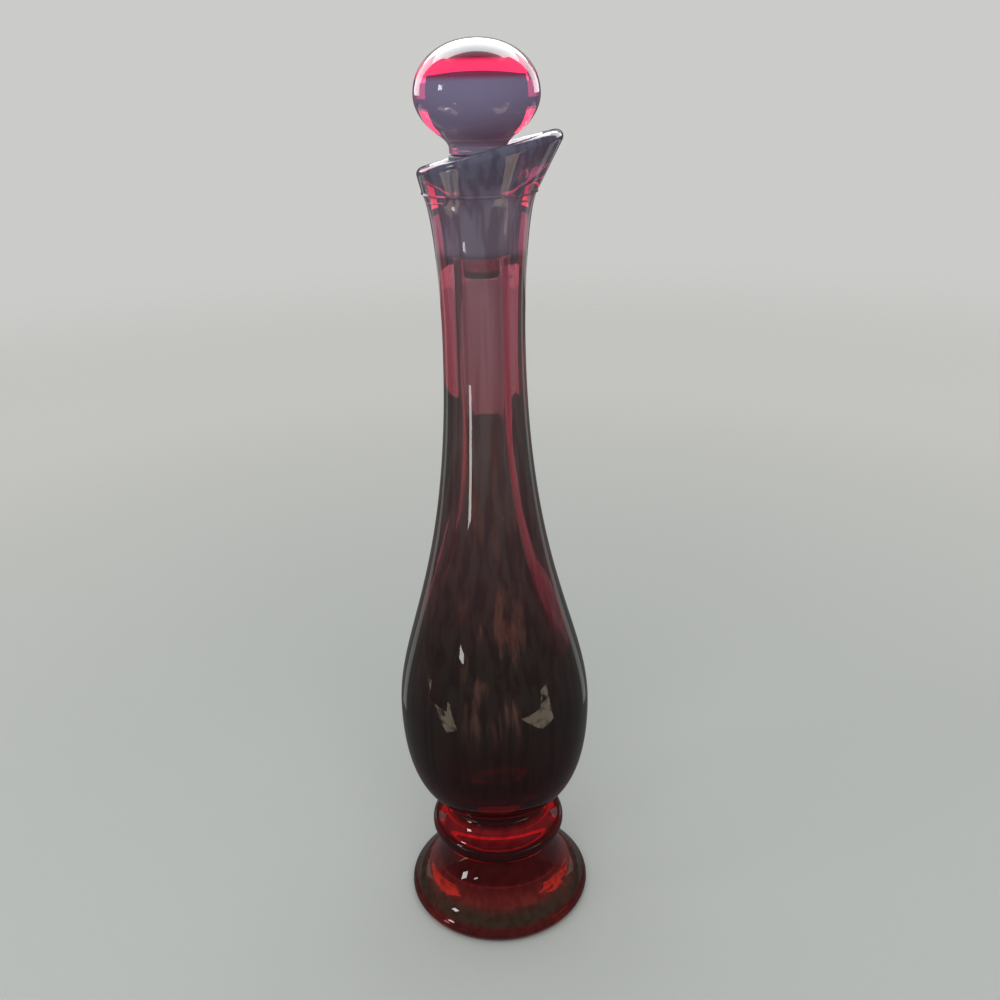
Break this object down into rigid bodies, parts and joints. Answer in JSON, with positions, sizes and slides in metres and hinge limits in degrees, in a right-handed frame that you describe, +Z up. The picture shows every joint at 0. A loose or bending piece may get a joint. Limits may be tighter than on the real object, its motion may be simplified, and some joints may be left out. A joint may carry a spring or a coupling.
{
  "type": "bud vase with stopper",
  "caption": "Tall ruby glass bud vase shaped like a decanter: flared foot, ring knop, long swelling body, slanted lip, ball stopper in a plastic sleeve.",
  "frame": {"origin": "centre of the foot, on the surface the vase stands on", "axes": "+Z up along the axis of the bottle, +X to the right in the picture, about 9 degrees from the high side of the slanted lip"},
  "size_m": [0.0512, 0.0512, 0.229],
  "materials": {
    "ruby_glass": "fire-polished, body-coloured ruby red",
    "stopper_glass": "polished, body-coloured ruby red",
    "sleeve_plastic": "smoky and slightly clear, a little matt from moulding"
  },
  "bodies": {
    "bottle": {"bottle": "ruby_glass"},
    "sleeve": {"stopper_sleeve": "sleeve_plastic"},
    "stopper": {"stopper": "stopper_glass"}
  },
  "joints": [
    {"name": "stopper_lift", "type": "slide", "parent": "bottle", "child": "sleeve", "axis": [0, 0, 1], "range_m": [0, 0.034]},
    {"name": "stopper_turn", "type": "hinge", "parent": "sleeve", "child": "stopper", "pos_m": [0, 0, 0.2175], "axis": [0, 0, 1], "continuous": true}
  ]
}
